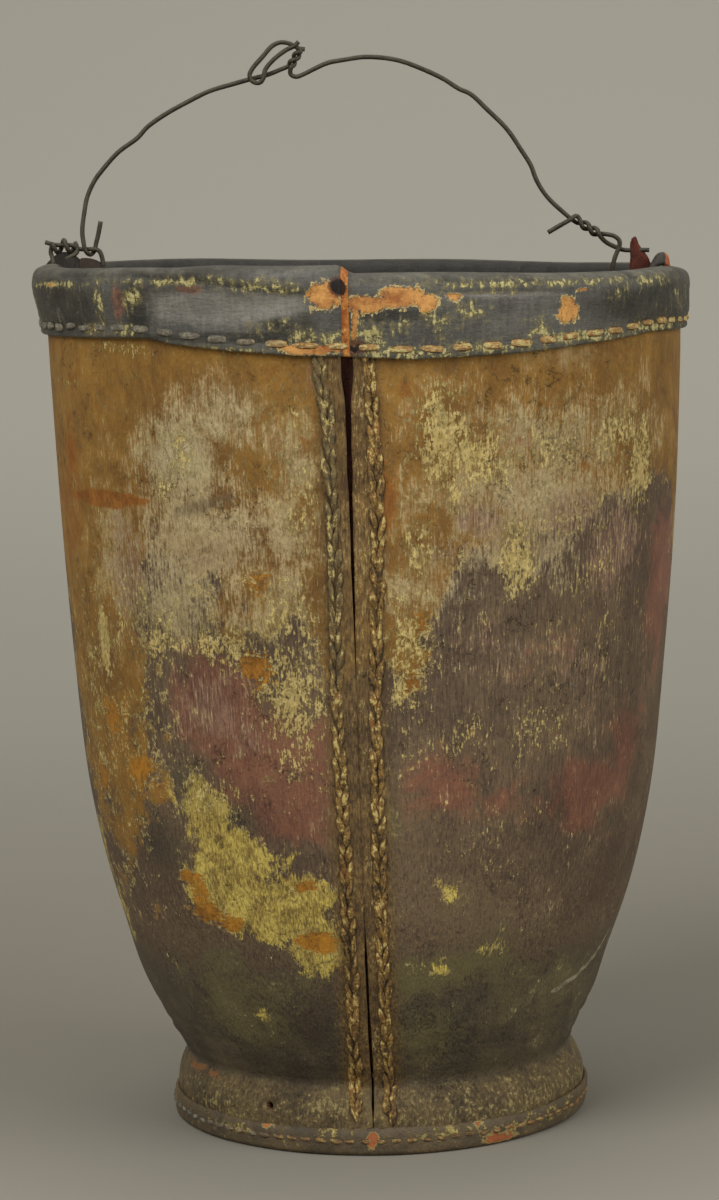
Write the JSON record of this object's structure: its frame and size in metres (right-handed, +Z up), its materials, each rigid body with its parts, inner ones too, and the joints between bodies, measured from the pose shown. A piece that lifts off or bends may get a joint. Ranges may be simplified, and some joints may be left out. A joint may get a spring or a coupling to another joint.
{
  "type": "fire bucket",
  "caption": "Old leather fire bucket with a rolled rim, a stitched butt seam, a waisted foot and a wire bail that swings in two torn leather ears.",
  "frame": {"origin": "centre of the foot on the surface that it stands on", "axes": "+Z up, the butt seam faces -Y, the bail swings about X"},
  "size_m": [0.2282, 0.2283, 0.3745],
  "materials": {
    "body_leather": "ochre paint worn off brown leather, crackled, satin",
    "band_leather": "blue-black worn leather, satin",
    "bare_leather": "bare red-brown torn leather, matt",
    "backing_leather": "dark brown leather, matt",
    "bottom_leather": "dark brown leather, matt",
    "binding_leather": "grey-green worn leather, satin",
    "seam_thread": "waxed thread under old ochre paint",
    "running_thread": "waxed tan thread",
    "cane": "plain cane",
    "iron_wire": "dull dark iron wire"
  },
  "bodies": {
    "bucket": {"body_shell": "body_leather", "seam_backing": "backing_leather", "seam_stitches_left": "seam_thread", "seam_stitches_right": "seam_thread", "rim_band": "band_leather", "band_joint_strip": "bare_leather", "rim_hoop": "cane", "rim_stitches": "running_thread", "bottom_pan": "bottom_leather", "foot_binding": "binding_leather", "foot_stitches": "running_thread", "left_ear_outer": "band_leather", "left_ear_inner": "backing_leather", "left_ear_stitches": "running_thread", "left_ear_wire": "iron_wire", "left_ear_lashing": "iron_wire", "right_ear_outer": "band_leather", "right_ear_inner": "bare_leather", "right_ear_stitches": "running_thread"},
    "bail": {"bail_left_wire": "iron_wire", "bail_right_wire": "iron_wire", "bail_right_strand": "iron_wire"}
  },
  "joints": [
    {"name": "bail_swing", "type": "hinge", "parent": "bucket", "child": "bail", "pos_m": [-0.09475, 0, 0.3045], "axis": [0.9997, 0, -0.0257], "range_deg": [-90, 90]}
  ]
}
